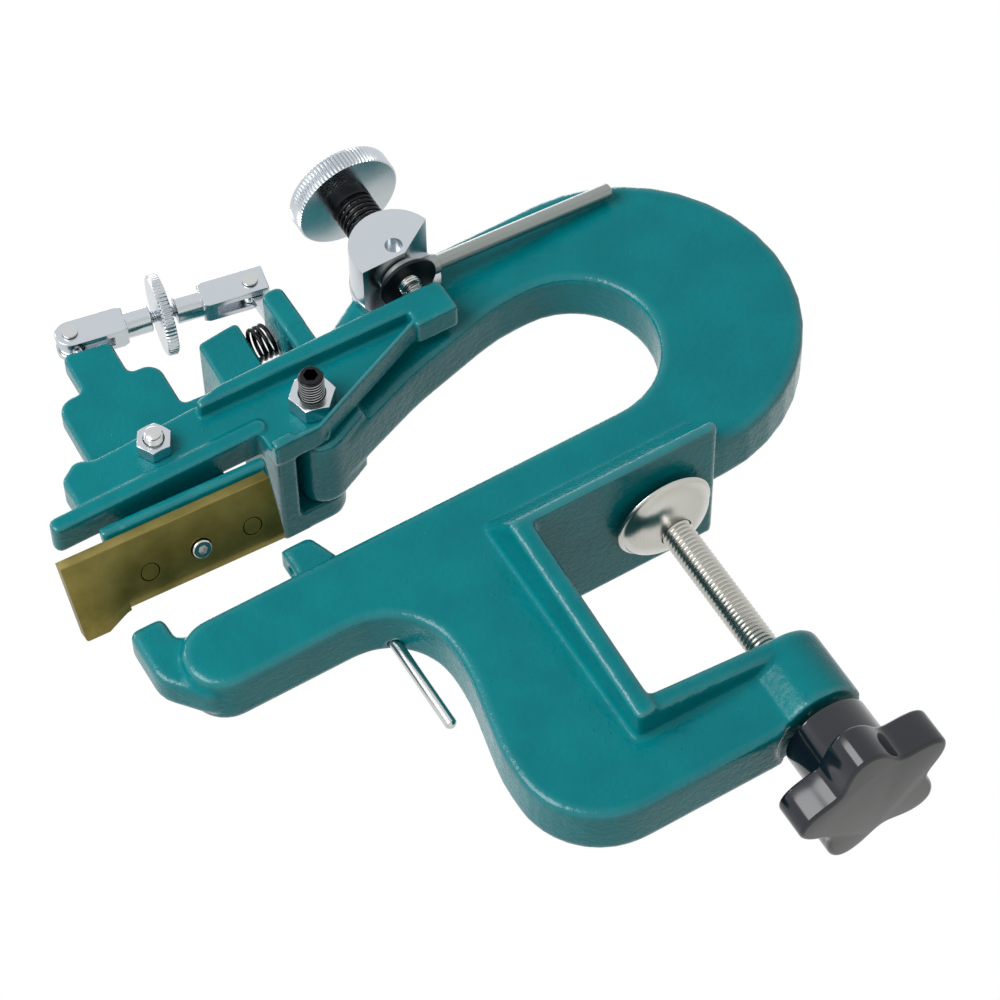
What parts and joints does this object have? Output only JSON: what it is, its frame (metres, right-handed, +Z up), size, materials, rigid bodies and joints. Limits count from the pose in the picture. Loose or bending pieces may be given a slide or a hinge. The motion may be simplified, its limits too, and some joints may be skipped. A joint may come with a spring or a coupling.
{
  "type": "leather skiving machine",
  "caption": "Bench-clamped leather skiver: cast frame, rocker with a razor blade, knurled height knob, lock lever, tilt link with a toothed wheel, clamp screw with a star knob.",
  "frame": {"origin": "on the clamp screw's axis, at the underside of the upper clamp jaw, which rests on the bench top", "axes": "+X from the blade towards the bow, +Y away from the side with the height knob's lever, +Z up"},
  "size_m": [0.2473, 0.0748, 0.2682],
  "materials": {
    "frame": "gloss hammered teal paint on cast iron",
    "underside_pin": "bright turned steel",
    "clamp_pad": "nickel plated",
    "clamp_screw": "nickel-plated thread",
    "star_knob": "gloss black moulded plastic",
    "rocker": "gloss hammered teal paint on cast iron",
    "near_pivot_screw": "black oxide",
    "far_pivot_screw": "black oxide",
    "near_pivot_nut": "bright zinc plate",
    "far_pivot_nut": "bright zinc plate",
    "carrier": "gloss hammered teal paint on cast iron",
    "carrier_stud": "bright steel",
    "carrier_nut": "bright zinc plate",
    "brass_block": "brushed brass, slightly tarnished",
    "razor_blade": "polished strip steel",
    "head_screw": "zinc plated",
    "left_dowel": "turned brass",
    "right_dowel": "turned brass",
    "left_eye": "plated steel",
    "right_eye": "plated steel",
    "left_fork": "bright zinc plate",
    "left_fork_pin": "staked steel pin",
    "right_fork": "bright zinc plate",
    "right_fork_pin": "staked steel pin",
    "tilt_wheel": "bright zinc plate",
    "backlash_spring": "blackened spring wire",
    "trunnion_block": "bright zinc plate",
    "trunnion_washer": "bright zinc plate",
    "trunnion_screw": "bright zinc plate",
    "adjusting_screw": "bright steel thread",
    "height_knob": "zinc-plated, straight knurled rim",
    "knob_spring": "blackened spring wire",
    "jam_ring": "black oxide",
    "lock_lever": "satin steel"
  },
  "bodies": {
    "base": {"frame": "frame", "underside_pin": "underside_pin"},
    "rocker_body": {"rocker": "rocker", "near_pivot_screw": "near_pivot_screw", "far_pivot_screw": "far_pivot_screw", "near_pivot_nut": "near_pivot_nut", "far_pivot_nut": "far_pivot_nut", "carrier_stud": "carrier_stud", "carrier_nut": "carrier_nut", "right_eye": "right_eye"},
    "trunnion": {"trunnion_block": "trunnion_block", "trunnion_washer": "trunnion_washer", "trunnion_screw": "trunnion_screw", "knob_spring": "knob_spring"},
    "adjuster": {"adjusting_screw": "adjusting_screw", "height_knob": "height_knob"},
    "lever": {"jam_ring": "jam_ring", "lock_lever": "lock_lever"},
    "blade_carrier": {"carrier": "carrier", "brass_block": "brass_block", "razor_blade": "razor_blade", "head_screw": "head_screw", "left_dowel": "left_dowel", "right_dowel": "right_dowel", "left_eye": "left_eye", "backlash_spring": "backlash_spring"},
    "left_link": {"left_fork": "left_fork", "left_fork_pin": "left_fork_pin"},
    "right_link": {"right_fork": "right_fork", "right_fork_pin": "right_fork_pin"},
    "wheel": {"tilt_wheel": "tilt_wheel"},
    "pad": {"clamp_pad": "clamp_pad"},
    "clamp": {"clamp_screw": "clamp_screw", "star_knob": "star_knob"}
  },
  "joints": [
    {"name": "height_screw_turn", "type": "hinge", "parent": "trunnion", "child": "adjuster", "pos_m": [-0.029, -0.0205, 0.107], "axis": [0, 0, 1], "range_deg": [-720, 720]},
    {"name": "rocker_pivot", "type": "hinge", "parent": "base", "child": "rocker_body", "pos_m": [-0.076, 0, 0.075], "axis": [0, 1, 0], "range_deg": [-2.5, 2.5]},
    {"name": "trunnion_turn", "type": "hinge", "parent": "base", "child": "trunnion", "pos_m": [-0.029, 0, 0.107], "axis": [0, 1, 0], "range_deg": [-1.5, 1.5]},
    {"name": "lock_lever_turn", "type": "hinge", "parent": "trunnion", "child": "lever", "pos_m": [-0.029, -0.0205, 0.1], "axis": [0, 0, 1], "range_deg": [-40, 0]},
    {"name": "tilt_wheel_turn", "type": "hinge", "parent": "right_link", "child": "wheel", "pos_m": [-0.0949, -0.0052, 0.1379], "axis": [0.9809, 0, -0.1944], "range_deg": [-360, 720]},
    {"name": "carrier_pivot", "type": "hinge", "parent": "rocker_body", "child": "blade_carrier", "pos_m": [-0.124, 0, 0.086], "axis": [0, 1, 0], "range_deg": [-3, 2], "deforming": ["backlash_spring"]},
    {"name": "left_fork_pivot", "type": "hinge", "parent": "blade_carrier", "child": "left_link", "pos_m": [-0.1236, -0.0052, 0.1436], "axis": [0, 1, 0], "range_deg": [-1.5, 2.5]},
    {"name": "right_fork_pivot", "type": "hinge", "parent": "rocker_body", "child": "right_link", "pos_m": [-0.0666, -0.0052, 0.1323], "axis": [0, 1, 0], "range_deg": [-1, 1]},
    {"name": "clamp_slide", "type": "slide", "parent": "base", "child": "pad", "axis": [0, 0, 1], "range_m": [-0.045, 0.0016]},
    {"name": "clamp_screw_turn", "type": "hinge", "parent": "pad", "child": "clamp", "pos_m": [0, 0, 0], "axis": [0, 0, 1], "range_deg": [-11000, 600]}
  ],
  "couplings": [
    {"joint": "rocker_pivot", "follows": "height_screw_turn", "ratio": 0.003386},
    {"joint": "trunnion_turn", "follows": "height_screw_turn", "ratio": -0.001964},
    {"joint": "carrier_pivot", "follows": "tilt_wheel_turn", "ratio": -0.003868},
    {"joint": "left_fork_pivot", "follows": "tilt_wheel_turn", "ratio": 0.00316},
    {"joint": "right_fork_pivot", "follows": "tilt_wheel_turn", "ratio": -0.00071},
    {"joint": "clamp_screw_turn", "follows": "clamp_slide", "rad_per_m": 4188.8}
  ]
}
